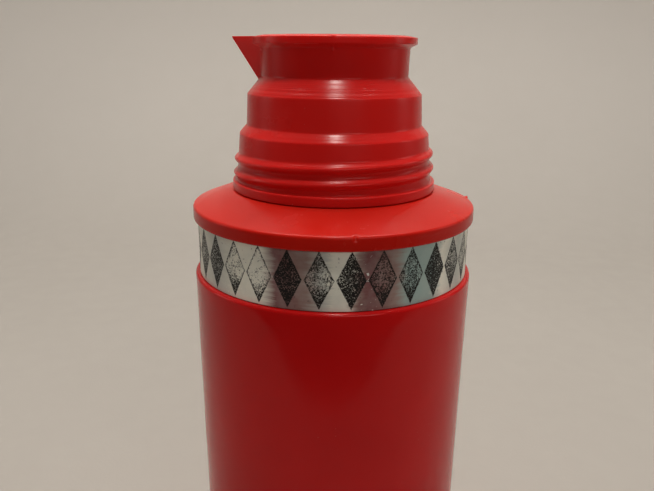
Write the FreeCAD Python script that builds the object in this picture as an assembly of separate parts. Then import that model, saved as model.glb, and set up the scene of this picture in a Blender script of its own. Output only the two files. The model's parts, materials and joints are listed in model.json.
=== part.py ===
import FreeCAD, Part
import math
import os

# A one-litre vacuum flask with a glass bottle in a moulded case. Millimetres, +Z up.
# The origin is the middle of the foot. The camera side is -Y and the pouring beak points to -X.
# Each function makes one real piece, and write() puts it into parts/ under its node's name.

# ---- driving dimensions ---------------------------------------------------------------------
LIP_HEIGHT = 188.0              # top of the case's rounded lip, where the band starts
TOTAL_HEIGHT = LIP_HEIGHT + 92.4
LIP_RADIUS = 57.46              # case just below its lip
FOOT_RADIUS = 55.7              # case just above the base cap
CASE_WALL = 2.4
BASE_SEAM = 6.0                 # the case starts here, above the base cap's flange

BAND_RADIUS = 55.6
BAND_TOP = LIP_HEIGHT + 22.5
FOIL = 0.3                      # thickness of the decorated band

SHOULDER_RADIUS = 57.3
SHOULDER_EDGE_TOP = BAND_TOP + 4.8
SHOULDER_EDGE_ROUND = 1.0
SKIRT_BOTTOM = LIP_HEIGHT + 33.5
SKIRT_TOP = LIP_HEIGHT + 37.1
SKIRT_RADIUS = 41.0

THREAD_PITCH = 5.6              # outside thread for the cup
THREAD_CREST = 40.3
THREAD_BURIED = 37.2            # the bead's section starts inside the wall, at this radius
THREAD_START = 100.0            # degrees; the front is at 270
THREAD_TURNS = 1.9
THREAD_FRONT = LIP_HEIGHT + 41.2     # height of the lower turn at the front

SCREW_LEAD = 10.0               # two-start screws of the pourer and of the base cap
SCREW_TURN = 0.6                # how far each rib of those screws runs, in turns
SCREW_RIB = 1.7                 # height of those ribs
FIT_GAP = 0.3                   # gap between curved faces that move past each other

STEP_3_RADIUS = (39.3, 37.8)    # lower and upper radius of each step of the pourer
STEP_2_RADIUS = (35.0, 34.4)
STEP_1_RADIUS = (28.9, 29.25)
STEP_3_TOP = LIP_HEIGHT + 55.5
STEP_2_BOTTOM = LIP_HEIGHT + 58.7
STEP_2_TOP = LIP_HEIGHT + 70.6
STEP_1_BOTTOM = LIP_HEIGHT + 77.2
FLANGE_ROOT = LIP_HEIGHT + 87.9
FLANGE_LOW = LIP_HEIGHT + 89.3
FLANGE_TOP = LIP_HEIGHT + 91.7       # the rim's upper face falls from the mouth to this height
FLANGE_RADIUS = 31.9
MOUTH_RADIUS = 26.4
BEAK_RADIUS = 40.0
BEAK_TOP = LIP_HEIGHT + 91.3
BEAK_FRONT_EDGE = 0.6           # height of the blunt front edge
BEAK_RUN = 15.0                 # from the tip to the beak's root inside the wall
BEAK_HALF_WIDTH = 12.1          # at that root
BEAK_KEEL_DROP = 23.7           # how far the keel falls over that run
BEAK_WALL_SHIFT = 2.6           # the channel is the same wedge, this much nearer the axis
CHANNEL_SIZE = 1.2              # and this much longer, so that it is open at the top

GLASS_RADIUS = 51.0             # outer wall of the bottle
GLASS_WALL = 1.6
GLASS_BOTTOM = 18.0
VACUUM_GAP = 4.8
NECK_RADIUS = 27.0
BORE_RADIUS = 20.6
GLASS_RIM = 252.2

CENTRE = FreeCAD.Vector(0, 0, 0)
UP = FreeCAD.Vector(0, 0, 1)


# ---- outlines -------------------------------------------------------------------------------
def unit(from_point, to_point):
    dr = to_point[0] - from_point[0]
    dz = to_point[1] - from_point[1]
    length = math.hypot(dr, dz)
    return dr / length, dz / length


def cross(a, b):
    return a[0] * b[1] - a[1] * b[0]


def rounding(before, corner, after):
    """Start, middle and end of the arc that rounds a corner (radius, height, round)."""
    a = unit(corner, before)
    b = unit(corner, after)
    half = math.acos(max(-1.0, min(1.0, a[0] * b[0] + a[1] * b[1]))) / 2
    run = corner[2] / math.tan(half)
    middle = unit((0, 0), (a[0] + b[0], a[1] + b[1]))
    reach = corner[2] / math.sin(half) - corner[2]
    start = (corner[0] + a[0] * run, corner[1] + a[1] * run)
    top = (corner[0] + middle[0] * reach, corner[1] + middle[1] * reach)
    end = (corner[0] + b[0] * run, corner[1] + b[1] * run)
    return start, top, end


def in_plane(point):
    return FreeCAD.Vector(point[0], 0, point[1])


def outline(corners):
    """Closed wire in the XZ plane. A corner is (radius, height) or (radius, height, round)."""
    stops = []
    for i, corner in enumerate(corners):
        if len(corner) == 3 and corner[2] > 0:
            after = corners[(i + 1) % len(corners)]
            stops.append(rounding(corners[i - 1], corner, after))
        else:
            stops.append((corner[:2],))
    edges = []
    for i, stop in enumerate(stops):
        if len(stop) == 3:
            start, top, end = (in_plane(p) for p in stop)
            edges.append(Part.Arc(start, top, end).toShape())
        first = in_plane(stop[-1])
        last = in_plane(stops[(i + 1) % len(stops)][0])
        if first.distanceToPoint(last) > 1e-6:
            edges.append(Part.makeLine(first, last))
    return Part.Wire(edges)


def turned(corners):
    """Solid of revolution about the flask's axis."""
    return Part.Face(outline(corners)).revolve(CENTRE, UP, 360)


def inner_path(path, wall):
    """An open path moved to its left by one wall, with its rounds made to match."""
    moved = []
    for i, corner in enumerate(path):
        into = unit(path[i - 1], corner) if i > 0 else unit(corner, path[1])
        away = unit(corner, path[i + 1]) if i < len(path) - 1 else into
        turn = cross(into, away)
        side = (-into[1] - away[1], into[0] + away[0])
        scale = wall / (1 + into[0] * away[0] + into[1] * away[1])
        point = (corner[0] + side[0] * scale, corner[1] + side[1] * scale)
        if len(corner) == 3:
            point += (corner[2] + (wall if turn < 0 else -wall),)
        moved.append(point)
    return moved


def helical_rib(corners, lead, start_angle, turns, height):
    """Sweep a rib section, drawn about height 0, up a right-hand helix."""
    radius = min(corner[0] for corner in corners)
    helix = Part.makeHelix(lead, lead * turns, radius)
    rib = Part.Wire(helix).makePipeShell([outline(corners)], True, True)
    rib.rotate(CENTRE, UP, start_angle)
    rib.translate(UP * height)
    return rib


def screw_ribs(root, crest, height):
    """Two screw ribs, half a turn apart, that start at this height."""
    buried = 0.5 if crest > root else -0.5
    section = [(root - buried, -1.0), (crest, -0.6), (crest, 0.6), (root - buried, 1.0)]
    ribs = []
    for start_angle in (0, 180):
        ribs.append(helical_rib(section, SCREW_LEAD, start_angle, SCREW_TURN, height))
    return ribs


def write(name, shape):
    if shape.ShapeType == "Compound" and len(shape.Solids) == 1:
        shape = shape.Solids[0]
    shape.exportStep("parts/" + name + ".step")
    box = shape.BoundBox
    print(f"{name:16s} solids {len(shape.Solids)} valid {shape.isValid()} "
          f"volume {shape.Volume / 1000:8.2f} cm3  z {box.ZMin:7.2f} to {box.ZMax:7.2f}  "
          f"x {box.XMin:7.2f} to {box.XMax:7.2f}")


# ---- case -----------------------------------------------------------------------------------
BASE_THREAD_BOTTOM = 10.0
BASE_NECK_RADIUS = 51.0
CASE_BORE = FOOT_RADIUS - CASE_WALL


def body_shell():
    inner_lip = LIP_RADIUS - CASE_WALL
    shell = turned([
        (FOOT_RADIUS, BASE_SEAM, 0.5), (LIP_RADIUS + 0.03, LIP_HEIGHT - 0.2, 2.2),
        (inner_lip, LIP_HEIGHT - 0.2, 0.3), (CASE_BORE, BASE_THREAD_BOTTOM + 12),
        (CASE_BORE, BASE_SEAM, 0.4)])
    ribs = screw_ribs(CASE_BORE, CASE_BORE - SCREW_RIB, BASE_THREAD_BOTTOM + SCREW_LEAD / 4)
    return shell.fuse(ribs)


def base_cap():
    flange_top = BASE_SEAM - FIT_GAP
    floor = 3.4
    neck_top = 22.0
    neck_bore = BASE_NECK_RADIUS - 2.4
    foot_bore = 47.0
    cap = turned([
        (0, floor), (foot_bore, floor, 0.8), (foot_bore, 0, 0.8), (FOOT_RADIUS, 0, 2.0),
        (FOOT_RADIUS, flange_top, 0.5), (BASE_NECK_RADIUS, flange_top), (BASE_NECK_RADIUS, neck_top, 0.6),
        (neck_bore, neck_top, 0.6), (neck_bore, 6.0, 1.0), (0, 6.0)])
    ribs = screw_ribs(BASE_NECK_RADIUS, BASE_NECK_RADIUS + SCREW_RIB, BASE_THREAD_BOTTOM)
    rib_top = floor + 0.2
    rib_drop = 0.8
    grip_ribs = []
    for i in range(8):
        grip = Part.makeBox(foot_bore - 5, 2.4, rib_top - rib_drop, FreeCAD.Vector(3, -1.2, rib_drop))
        grip.rotate(CENTRE, UP, i * 45)
        grip_ribs.append(grip)
    boss = Part.makeCylinder(9, rib_top - rib_drop, FreeCAD.Vector(0, 0, rib_drop))
    return cap.fuse(ribs + grip_ribs + [boss]).removeSplitter()


CARRIER_BOTTOM = 172.0
CARRIER_BORE = 52.8


def band_carrier():
    below_lip = LIP_RADIUS - CASE_WALL - 0.25
    behind_band = BAND_RADIUS - FOIL
    return turned([
        (CARRIER_BORE, CARRIER_BOTTOM), (below_lip - 0.2, CARRIER_BOTTOM, 0.4),
        (below_lip, LIP_HEIGHT), (behind_band, LIP_HEIGHT), (behind_band, BAND_TOP),
        (CARRIER_BORE, BAND_TOP)])


def decor_band():
    bottom = LIP_HEIGHT + 0.1
    return turned([
        (BAND_RADIUS - FOIL, bottom), (BAND_RADIUS, bottom), (BAND_RADIUS, BAND_TOP),
        (BAND_RADIUS - FOIL, BAND_TOP)])


UPSTAND_RADIUS = 33.2
UPSTAND_BORE = 31.0
UPSTAND_TOP = 240.0
POURER_THREAD_BOTTOM = 226.5


def shoulder_ring():
    spigot = CARRIER_BORE - 0.05
    spigot_bore = spigot - 2.2
    spigot_bottom = BAND_TOP - 10
    land = SKIRT_BOTTOM - 0.3
    ring = turned([
        (spigot_bore, spigot_bottom, 0.5), (spigot, spigot_bottom, 0.5), (spigot, BAND_TOP),
        (SHOULDER_RADIUS, BAND_TOP, SHOULDER_EDGE_ROUND),
        (SHOULDER_RADIUS, SHOULDER_EDGE_TOP, SHOULDER_EDGE_ROUND),
        (SKIRT_RADIUS + 0.6, land, 1.0), (UPSTAND_RADIUS, land), (UPSTAND_RADIUS, UPSTAND_TOP, 0.6),
        (UPSTAND_BORE, UPSTAND_TOP, 0.6), (UPSTAND_BORE, land - 2.4, 0.6),
        (SKIRT_RADIUS - 1, land - 2.4, 0.6), (spigot_bore, BAND_TOP + 2.6, 1.0)])
    ribs = screw_ribs(UPSTAND_RADIUS, UPSTAND_RADIUS + SCREW_RIB, POURER_THREAD_BOTTOM + SCREW_LEAD / 4)
    return ring.fuse(ribs)


# ---- pourer ---------------------------------------------------------------------------------
LEDGE_BOTTOM = 255.2
LEDGE_TOP = 258.2
LEDGE_BORE = 22.2
GASKET_POCKET_RADIUS = 31.8
GASKET_POCKET_FOOT = 246.5
THREAD_BORE_TOP = 242.5
POURER_BORE = UPSTAND_RADIUS + SCREW_RIB + 0.4


def beak(root, heel_height, size):
    """A pointed wedge. Its keel and sides rise from a heel inside the wall; size 1 ends at the tip."""
    top = heel_height + BEAK_KEEL_DROP * size + BEAK_FRONT_EDGE
    tip = root + BEAK_RUN * size
    crest = FreeCAD.Vector(-tip, 0, top)
    front = FreeCAD.Vector(-tip, 0, top - BEAK_FRONT_EDGE)
    left = FreeCAD.Vector(-root, BEAK_HALF_WIDTH * size, top)
    right = FreeCAD.Vector(-root, -BEAK_HALF_WIDTH * size, top)
    heel = FreeCAD.Vector(-root, 0, heel_height)
    faces = [
        [crest, left, right], [left, right, heel], [front, heel, left], [front, heel, right],
        [crest, front, left], [crest, front, right]]
    solid = Part.Solid(Part.Shell([Part.Face(Part.makePolygon(face + face[:1])) for face in faces]))
    if solid.Volume < 0:
        solid.reverse()
    return solid


def pourer():
    steps = turned([
        (POURER_BORE, SKIRT_BOTTOM, 0.3), (SKIRT_RADIUS, SKIRT_BOTTOM, 0.4),
        (SKIRT_RADIUS, SKIRT_TOP, 0.5), (STEP_3_RADIUS[0], SKIRT_TOP, 0.5),
        (STEP_3_RADIUS[1], STEP_3_TOP, 1.2), (STEP_2_RADIUS[0], STEP_2_BOTTOM, 1.2),
        (STEP_2_RADIUS[1], STEP_2_TOP, 0.9), (STEP_1_RADIUS[0], STEP_1_BOTTOM, 1.0),
        (STEP_1_RADIUS[1], FLANGE_ROOT, 0.5), (FLANGE_RADIUS, FLANGE_LOW, 0.3),
        (FLANGE_RADIUS, FLANGE_TOP, 0.3), (MOUTH_RADIUS + 2.0, TOTAL_HEIGHT, 2.0),
        (MOUTH_RADIUS, TOTAL_HEIGHT, 0.7), (MOUTH_RADIUS, LEDGE_TOP, 1.0),
        (LEDGE_BORE, LEDGE_TOP, 0.6), (LEDGE_BORE, LEDGE_BOTTOM, 0.4),
        (GASKET_POCKET_RADIUS, LEDGE_BOTTOM, 0.8), (GASKET_POCKET_RADIUS, GASKET_POCKET_FOOT, 1.0),
        (POURER_BORE, THREAD_BORE_TOP, 0.8)])
    inside = Part.makeCylinder(MOUTH_RADIUS + 1.0, TOTAL_HEIGHT)
    root = BEAK_RADIUS - BEAK_RUN
    outer_beak = beak(root, BEAK_TOP - BEAK_FRONT_EDGE - BEAK_KEEL_DROP, 1.0).cut(inside)
    channel = beak(root - BEAK_WALL_SHIFT, BEAK_TOP - BEAK_KEEL_DROP, CHANNEL_SIZE)
    bead = [
        (THREAD_BURIED, -2.3), (THREAD_CREST, -0.8, 1.1), (THREAD_CREST, 0.8, 1.1),
        (THREAD_BURIED, 2.3)]
    start_height = THREAD_FRONT - THREAD_PITCH * (270.0 - THREAD_START) / 360.0
    cup_thread = helical_rib(bead, THREAD_PITCH, THREAD_START, THREAD_TURNS, start_height)
    inner_ribs = screw_ribs(POURER_BORE, POURER_BORE - SCREW_RIB, POURER_THREAD_BOTTOM)
    return steps.fuse([outer_beak]).cut(channel).fuse([cup_thread] + inner_ribs)


# ---- bottle ---------------------------------------------------------------------------------
WALL_TOP = GLASS_RIM - 3.2           # both walls run up to here, under the fused lip
GLASS_DOME = 34.0                    # round at the outer wall's foot


def glass_path(radius, bottom, shoulder, neck, neck_foot, dome, bend):
    return [(0, bottom), (radius, bottom, dome), (radius, shoulder, bend),
            (neck, neck_foot, 9.0), (neck, WALL_TOP)]


OUTER_PATH = glass_path(GLASS_RADIUS, GLASS_BOTTOM, 203.0, NECK_RADIUS, 221.0, GLASS_DOME, 26.0)
INNER_PATH = glass_path(GLASS_RADIUS - GLASS_WALL - VACUUM_GAP, GLASS_BOTTOM + GLASS_WALL + VACUUM_GAP,
                        200.0, BORE_RADIUS + GLASS_WALL, 217.0, 28.0, 22.0)


def glass_outer():
    return turned(OUTER_PATH + inner_path(OUTER_PATH, GLASS_WALL)[::-1])


def glass_inner():
    lip = [(NECK_RADIUS, WALL_TOP), (NECK_RADIUS, GLASS_RIM, 2.6), (BORE_RADIUS, GLASS_RIM, 2.6)]
    bore = inner_path(INNER_PATH, GLASS_WALL)[:-1]
    return turned(INNER_PATH + lip + bore[::-1])


def seal_off_tip():
    return turned([(0, GLASS_BOTTOM - 8), (1.4, GLASS_BOTTOM - 7.6, 0.6), (2.6, GLASS_BOTTOM - 3, 1.0),
                   (4.2, GLASS_BOTTOM), (0, GLASS_BOTTOM)])


PAD_HEIGHT = 62.0
PAD_RADIUS = 5.0


def spacer_pads():
    inside = GLASS_RADIUS - GLASS_WALL - VACUUM_GAP
    pads = []
    for i in range(3):
        inner_end = FreeCAD.Vector(inside - 2, 0, PAD_HEIGHT)
        pad = Part.makeCylinder(PAD_RADIUS, VACUUM_GAP + 4, inner_end, FreeCAD.Vector(1, 0, 0))
        pad.rotate(CENTRE, UP, 30 + i * 120)
        pads.append(pad)
    low = PAD_HEIGHT - 12
    high = PAD_HEIGHT + 12
    gap = turned([
        (inside, low), (inside + VACUUM_GAP, low), (inside + VACUUM_GAP, high), (inside, high)])
    return Part.makeCompound([pad.common(gap).Solids[0] for pad in pads])


# ---- soft pieces ----------------------------------------------------------------------------
def neck_gasket():
    bottom = GLASS_RIM - 6.0
    gap = FIT_GAP / 2
    seat = GLASS_RIM + gap
    top = LEDGE_BOTTOM - gap
    return turned([
        (LEDGE_BORE - 0.6, seat, 0.2), (LEDGE_BORE - 0.6, top, 0.3), (NECK_RADIUS + 2.2, top, 1.0),
        (NECK_RADIUS + 2.2, bottom, 0.6), (NECK_RADIUS + FIT_GAP, bottom, 0.3),
        (NECK_RADIUS + FIT_GAP, seat)])


def shoulder_gasket():
    block = turned([(36.0, 205.0), (46.0, 200.0), (46.0, 213.0, 1.0), (40.0, 218.2, 1.0), (36.0, 218.2)])
    return block.cut(turned(inner_path(OUTER_PATH, -0.1) + [(0, WALL_TOP)]))


def card_sleeve():
    inner = GLASS_RADIUS + 0.2
    outer = GLASS_RADIUS + 1.4
    bottom = 56.0
    top = 171.0
    return turned([(inner, bottom), (outer, bottom), (outer, top), (inner, top)])


def base_cushion():
    floor = 6.0
    rim = 34.0
    cushion = turned([
        (16.0, floor), (45.0, floor, 1.0), (45.0, rim, 1.2), (41.0, rim, 1.0), (16.0, 17.0, 1.0)])
    dome_radius = GLASS_RADIUS + FIT_GAP
    dome_low = GLASS_BOTTOM - FIT_GAP
    dome = [
        (0, dome_low), (dome_radius, dome_low, GLASS_DOME + FIT_GAP), (dome_radius, 80.0), (0, 80.0)]
    return cushion.cut(turned(dome))


# ---- stopper --------------------------------------------------------------------------------
PLUG_RADIUS = BORE_RADIUS - 0.6
PLUG_BOTTOM = 224.0
HEAD_BOTTOM = LEDGE_TOP + 1.6
HEAD_TOP = TOTAL_HEIGHT - 1.2
HEAD_RADIUS = MOUTH_RADIUS - 0.4
RING_HEIGHTS = (246.0, 239.0)
RING_SECTION = 1.1
RING_CENTRE = BORE_RADIUS - 0.06 - RING_SECTION     # the rings just clear the glass bore
RING_FIT = 0.05
STOPPER_WALL = 1.8
CAP_SEAT = HEAD_TOP - 8.0


def stopper_body():
    body = turned([
        (0, PLUG_BOTTOM), (PLUG_RADIUS, PLUG_BOTTOM, 4.0), (PLUG_RADIUS, HEAD_BOTTOM),
        (HEAD_RADIUS, HEAD_BOTTOM, 0.8), (HEAD_RADIUS, HEAD_TOP, 0.9),
        (HEAD_RADIUS - STOPPER_WALL, HEAD_TOP, 0.5), (HEAD_RADIUS - STOPPER_WALL, CAP_SEAT),
        (PLUG_RADIUS - STOPPER_WALL, CAP_SEAT), (PLUG_RADIUS - STOPPER_WALL, PLUG_BOTTOM + 2, 2.2),
        (0, PLUG_BOTTOM + 2)])
    for height in RING_HEIGHTS:
        groove = Part.makeTorus(RING_CENTRE, RING_SECTION + RING_FIT, FreeCAD.Vector(0, 0, height))
        body = body.cut(groove)
    return body


def stopper_rings():
    rings = []
    for height in RING_HEIGHTS:
        rings.append(Part.makeTorus(RING_CENTRE, RING_SECTION, FreeCAD.Vector(0, 0, height)))
    return Part.makeCompound(rings)


def stopper_cap():
    radius = HEAD_RADIUS - STOPPER_WALL - 0.05
    top = CAP_SEAT + 2.2
    disc = turned([(0, CAP_SEAT), (radius, CAP_SEAT, 0.3), (radius, top, 0.4), (0, top)])
    grip_width = 6.0
    corner = FreeCAD.Vector(1.5 - radius, -grip_width / 2, CAP_SEAT + 1)
    grip = Part.makeBox(2 * radius - 3, grip_width, HEAD_TOP - CAP_SEAT - 1.2, corner)
    long_edges = [edge for edge in grip.Edges if edge.BoundBox.ZMin > CAP_SEAT + 3]
    return disc.fuse(grip.makeFillet(1.2, long_edges)).removeSplitter()


def stopper_core():
    radius = PLUG_RADIUS - STOPPER_WALL - 0.1
    bottom = PLUG_BOTTOM + 2.1
    top = CAP_SEAT - 0.1
    return turned([(0, bottom), (radius, bottom, 2.2), (radius, top), (0, top)])


def stopper_washer():
    bore = LEDGE_BORE + 0.4
    return turned([
        (bore, LEDGE_TOP + 0.1), (HEAD_RADIUS - 0.9, LEDGE_TOP + 0.1, 0.4),
        (HEAD_RADIUS - 0.9, HEAD_BOTTOM, 0.4), (bore, HEAD_BOTTOM)])


# ---- all pieces -----------------------------------------------------------------------------
PIECES = [
    body_shell, base_cap, band_carrier, decor_band, shoulder_ring, pourer, glass_outer, glass_inner,
    seal_off_tip, spacer_pads, neck_gasket, shoulder_gasket, card_sleeve, base_cushion, stopper_body,
    stopper_rings, stopper_cap, stopper_core, stopper_washer]

os.makedirs("parts", exist_ok=True)
for piece in PIECES:
    write(piece.__name__, piece())
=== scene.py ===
# %% [markdown]
# # A one-litre vacuum flask in red moulded plastic
# The engineering model is a fixed frame: it says where every part of the flask is and what moves.
# This file gives the parts their finished surfaces. The visible shells are lathed again from
# smooth outlines, the metal band gets its rhombs, and every part gets a material made of nodes.

# %% Load the frame
import bpy
import json
import math
import random
from mathutils import Matrix, Vector

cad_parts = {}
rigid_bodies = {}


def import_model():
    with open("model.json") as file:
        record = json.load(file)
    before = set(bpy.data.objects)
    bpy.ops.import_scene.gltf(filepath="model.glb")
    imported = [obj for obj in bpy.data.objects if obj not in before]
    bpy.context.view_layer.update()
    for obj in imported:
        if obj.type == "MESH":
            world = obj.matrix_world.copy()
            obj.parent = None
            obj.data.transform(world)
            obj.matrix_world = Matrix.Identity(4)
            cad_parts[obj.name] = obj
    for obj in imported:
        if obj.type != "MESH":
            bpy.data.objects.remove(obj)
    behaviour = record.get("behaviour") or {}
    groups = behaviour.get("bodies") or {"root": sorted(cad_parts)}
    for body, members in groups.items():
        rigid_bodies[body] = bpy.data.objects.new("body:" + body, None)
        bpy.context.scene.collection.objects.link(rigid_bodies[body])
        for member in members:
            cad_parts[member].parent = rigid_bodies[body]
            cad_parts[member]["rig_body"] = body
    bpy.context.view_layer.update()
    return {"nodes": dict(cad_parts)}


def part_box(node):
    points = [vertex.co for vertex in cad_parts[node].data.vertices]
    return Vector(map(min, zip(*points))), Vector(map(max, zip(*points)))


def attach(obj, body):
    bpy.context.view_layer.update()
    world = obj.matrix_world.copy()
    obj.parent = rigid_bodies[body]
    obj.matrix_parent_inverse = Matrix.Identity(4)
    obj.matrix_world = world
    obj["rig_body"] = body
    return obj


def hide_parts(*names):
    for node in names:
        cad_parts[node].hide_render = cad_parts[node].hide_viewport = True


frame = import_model()
nodes = frame["nodes"]
MM = 0.001
print("parts in the frame:", len(nodes))

# %% [markdown]
# ## Where things are
# Every height comes from the frame, so that nothing has to be fitted later. The seam between the
# case and the band is the natural place to measure from: SEAM is that height, and the outlines
# below give their heights in millimetres above it.

# %% Heights and radii from the frame
BAND_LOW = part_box("decor_band")[0].z
BAND_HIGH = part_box("decor_band")[1].z
BAND_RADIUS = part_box("decor_band")[1].x
SEAM = BAND_LOW - 0.1 * MM
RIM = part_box("pourer")[1].z - SEAM
CASE_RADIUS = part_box("body_shell")[1].x
SHOULDER_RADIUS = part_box("shoulder_ring")[1].x
SKIRT_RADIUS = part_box("pourer")[1].x
print("seam at", round(SEAM / MM, 2), "mm, rim", round(RIM / MM, 2), "mm above it")

# %% [markdown]
# ## The camera
# A flask on a table is mostly looked at from a little above. Here the lens stands level with the
# rim and looks down by about seventeen degrees, so that the rim is nearly a straight line and
# every ring below it opens into a wider ellipse. A small roll is kept, as a hand-held camera has.

# %% Camera
CAMERA_BACK = 264.8 * MM         # from the flask's axis
CAMERA_HEIGHT = SEAM + 87.0 * MM
LENS = 35.78                     # millimetres, on a 36 mm sensor
PITCH = math.radians(16.74)
YAW = math.radians(-0.53)
ROLL = math.radians(0.515)


def make_camera():
    """A camera from its pitch, yaw and roll, as a matrix of its own three directions."""
    data = bpy.data.cameras.new("camera")
    data.lens = LENS
    data.sensor_width = 36.0
    data.clip_start = 0.01
    camera = bpy.data.objects.new("camera", data)
    bpy.context.scene.collection.objects.link(camera)
    ahead = Vector((math.sin(YAW) * math.cos(PITCH), math.cos(YAW) * math.cos(PITCH), -math.sin(PITCH)))
    level = Vector((math.cos(YAW), -math.sin(YAW), 0))
    upward = level.cross(ahead)
    right = level * math.cos(ROLL) + upward * math.sin(ROLL)
    above = upward * math.cos(ROLL) - level * math.sin(ROLL)
    turn = Matrix((right, above, -ahead)).transposed().to_4x4()
    camera.matrix_world = Matrix.Translation((0, -CAMERA_BACK, CAMERA_HEIGHT)) @ turn
    return camera


bpy.context.scene.camera = make_camera()
print("camera at", [round(x, 4) for x in bpy.context.scene.camera.matrix_world.translation])

# %% [markdown]
# ## Floor, backdrop and light
# A photographer's sweep: one pale sheet that runs from the floor up behind the flask without an
# edge. It is also what the glossy sides reflect, so it matters as much as the lamps.

# %% The sweep
def make_sweep(width, front, back, height, bend):
    """A pale sheet: floor, a quarter-round bend and a wall."""
    outline = [(front, 0.0), (back - bend, 0.0)]
    steps = 16
    for i in range(1, steps + 1):
        a = math.pi / 2 * i / steps
        outline.append((back - bend + bend * math.sin(a), bend - bend * math.cos(a)))
    outline.append((back, height))
    mesh = bpy.data.meshes.new("sweep")
    points = [(side * width / 2, y, z) for y, z in outline for side in (-1, 1)]
    faces = [(2 * i, 2 * i + 1, 2 * i + 3, 2 * i + 2) for i in range(len(outline) - 1)]
    mesh.from_pydata(points, [], faces)
    for face in mesh.polygons:
        face.use_smooth = True
    sheet = bpy.data.objects.new("sweep", mesh)
    bpy.context.scene.collection.objects.link(sheet)
    return sheet


sweep = make_sweep(width=5.0, front=-0.30, back=1.0, height=2.0, bend=0.4)
print("sweep faces:", len(sweep.data.polygons))

# %% [markdown]
# A big soft lamp overhead lights what faces up: the shoulder, the cones and the lips. A small
# lamp above the camera draws the short bright marks down the middle of the pourer. Two tall lamps
# far to the sides give the round walls their pale edges.

# %% Lamps
def soft_lamp(name, place, aim, size, power, tint=(1.0, 0.95, 0.885)):
    """A rectangular lamp that points at aim."""
    data = bpy.data.lights.new(name, "AREA")
    data.shape = "RECTANGLE"
    data.size, data.size_y = size
    data.energy = power
    data.color = tint
    lamp = bpy.data.objects.new(name, data)
    bpy.context.scene.collection.objects.link(lamp)
    lamp.location = place
    lamp.rotation_euler = (Vector(aim) - Vector(place)).to_track_quat("-Z", "Y").to_euler()
    return lamp


MIDDLE = (0, 0, 0.24)
soft_lamp("key", (0.03, -0.30, 1.45), MIDDLE, (0.15, 0.15), 6.2)
soft_lamp("overhead", (0.0, 0.50, 1.9), (0, 0.75, 0.3), (1.6, 0.7), 28.0)
soft_lamp("front_fill", (0.5, -1.5, 0.9), MIDDLE, (1.2, 0.9), 6.6)
soft_lamp("left_side", (-1.6, 0.2, 0.7), MIDDLE, (0.5, 0.9), 1.6)
soft_lamp("right_side", (1.6, 0.2, 0.7), MIDDLE, (0.5, 0.9), 1.6)


def make_room():
    """A pale room that is dark in front of the flask, as behind a photographer's back."""
    room = bpy.data.worlds.new("room")
    room.use_nodes = True
    tree = room.node_tree
    background = tree.nodes["Background"]
    place = tree.nodes.new("ShaderNodeTexCoord")
    split = tree.nodes.new("ShaderNodeSeparateXYZ")
    fall = tree.nodes.new("ShaderNodeMapRange")
    path = tree.nodes.new("ShaderNodeLightPath")
    brighter = tree.nodes.new("ShaderNodeMath")
    brighter.operation = "MAXIMUM"
    tree.links.new(place.outputs["Generated"], split.inputs[0])
    tree.links.new(split.outputs["Y"], fall.inputs["Value"])
    fall.inputs["From Min"].default_value = ROOM_DARK_FROM
    fall.inputs["From Max"].default_value = ROOM_LIGHT_FROM
    fall.inputs["To Min"].default_value = ROOM_DARK
    fall.inputs["To Max"].default_value = ROOM_LIGHT
    seen = tree.nodes.new("ShaderNodeMath")
    seen.operation = "MULTIPLY"
    seen.inputs[1].default_value = ROOM_SEEN
    tree.links.new(path.outputs["Is Camera Ray"], seen.inputs[0])
    tree.links.new(fall.outputs[0], brighter.inputs[0])
    tree.links.new(seen.outputs[0], brighter.inputs[1])
    tree.links.new(brighter.outputs[0], background.inputs["Strength"])
    background.inputs["Color"].default_value = (1.0, 0.95, 0.89, 1)
    return room


ROOM_DARK_FROM = -0.55           # how far the view direction leans to the front, -1 is straight ahead
ROOM_LIGHT_FROM = 0.35
ROOM_DARK = 0.012
ROOM_LIGHT = 0.30
ROOM_SEEN = 0.50
bpy.context.scene.world = make_room()
bpy.context.scene.view_settings.view_transform = "Standard"

# %% [markdown]
# ## Material helpers
# A real surface is never one colour. Each finish below starts from a Principled shader and feeds
# it with noise at the sizes where the real thing varies: slow drifts of tone, hand smudges in the
# gloss, and fine marks in the relief. Object coordinates are used throughout. They are metres in
# the flask's own frame, so a pattern stays on its part from any side.

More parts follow.
